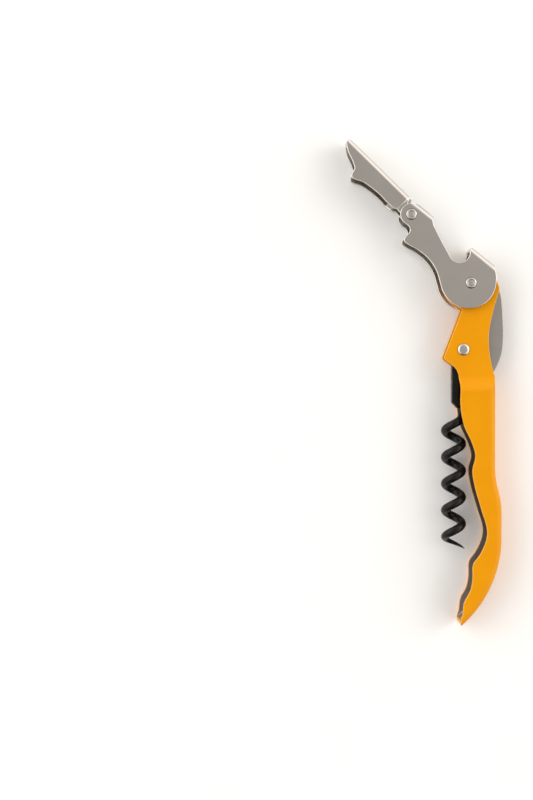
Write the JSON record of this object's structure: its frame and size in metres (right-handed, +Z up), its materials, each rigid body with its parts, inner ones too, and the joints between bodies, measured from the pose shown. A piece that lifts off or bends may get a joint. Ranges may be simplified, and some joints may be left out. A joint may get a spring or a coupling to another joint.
{
  "type": "lever corkscrew",
  "caption": "Waiter's corkscrew: sheet-steel handle with a black folding worm, a folding foil knife and a hinged plated lever with two lip steps and a cap opener.",
  "frame": {"origin": "centre of the footprint on the table, with the corkscrew lying on its side and opened as at rest", "axes": "+Z is up, across the handle's width and along every joint axis; the handle runs along Y with its tip towards -Y; the worm opens towards -X and the blade towards +X"},
  "size_m": [0.0516, 0.1579, 0.0116],
  "materials": {
    "painted_steel": "semi-gloss orange-yellow powder paint",
    "plated_steel": "nickel plate, satin flats and brighter bends",
    "rivet_steel": "bright riveted heads",
    "black_coating": "black non-stick coating, satin",
    "blade_steel": "ground stainless blade",
    "spring_steel": "dull spring steel",
    "washer_steel": "plain steel"
  },
  "bodies": {
    "handle": {"handle_shell": "painted_steel", "main_rivet": "rivet_steel", "worm_rivet": "rivet_steel", "pivot_washers": "washer_steel", "knife_spacers": "washer_steel", "worm_washers": "washer_steel"},
    "lever": {"lever_arm": "plated_steel", "hinge_rivet": "rivet_steel"},
    "foot": {"lever_foot": "plated_steel"},
    "worm": {"worm": "black_coating", "worm_tang": "black_coating"},
    "knife": {"knife": "blade_steel"},
    "backspring": {"backspring": "spring_steel"}
  },
  "joints": [
    {"name": "lever_swing", "type": "hinge", "parent": "handle", "child": "lever", "pos_m": [0.01465, 0.0323, 0.0058], "axis": [0, 0, -1], "range_deg": [-124, 4]},
    {"name": "foot_swing", "type": "hinge", "parent": "lever", "child": "foot", "pos_m": [-0.00471, 0.05454, 0.0058], "axis": [0, 0, 1], "range_deg": [0, 75]},
    {"name": "worm_swing", "type": "hinge", "parent": "handle", "child": "worm", "pos_m": [0.01245, 0.0107, 0.0058], "axis": [0, 0, -1], "range_deg": [-8, 85]},
    {"name": "knife_swing", "type": "hinge", "parent": "handle", "child": "knife", "pos_m": [0.01465, 0.0323, 0.0058], "axis": [0, 0, 1], "range_deg": [0, 24]},
    {"name": "backspring_flex", "type": "hinge", "parent": "handle", "child": "backspring", "pos_m": [0.02095, -0.0172, 0.0058], "axis": [0, 0, -1], "range_deg": [0, 1.5], "stiffness_Nm_per_rad": 5}
  ]
}
